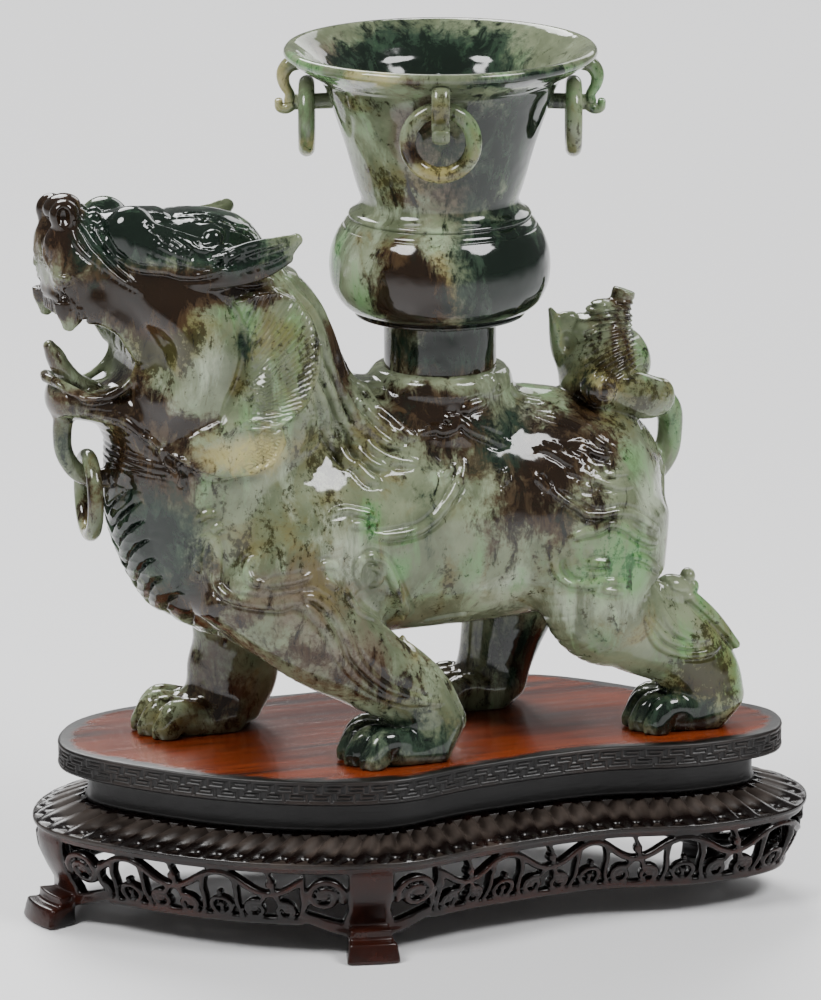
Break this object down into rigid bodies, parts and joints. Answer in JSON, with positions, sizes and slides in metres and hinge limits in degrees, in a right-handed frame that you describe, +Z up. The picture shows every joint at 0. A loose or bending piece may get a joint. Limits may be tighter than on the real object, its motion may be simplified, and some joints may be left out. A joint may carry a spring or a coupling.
{
  "type": "jade guardian lion carving with vase on a wood stand",
  "caption": "Carved jade guardian lion, walking with head raised, carrying a flared vase with loose rings, on a pierced hardwood stand.",
  "frame": {"origin": "under the middle of the whole work, on the surface that the stand's feet rest on", "axes": "+Z up, the lion faces -X, its left flank faces -Y"},
  "size_m": [0.2476, 0.1274, 0.277],
  "materials": {
    "lion_jade": "polished mottled jadeite, green, cream, brown and near black",
    "vase_jade": "polished mottled jadeite, pale green with dark grey green and olive",
    "ring_jade": "polished jadeite, pale green and olive",
    "board_wood": "polished red-brown hardwood with dark grain and a near black carved edge",
    "base_wood": "near black polished hardwood, worn red-brown on the scrolls"
  },
  "bodies": {
    "root": {"lion": "lion_jade", "vase": "vase_jade", "vase_ring_front": "ring_jade", "vase_ring_right": "ring_jade", "vase_ring_back": "ring_jade", "vase_ring_left": "ring_jade", "chin_ring": "ring_jade", "stand_top": "board_wood", "stand_base": "base_wood"}
  },
  "joints": []
}
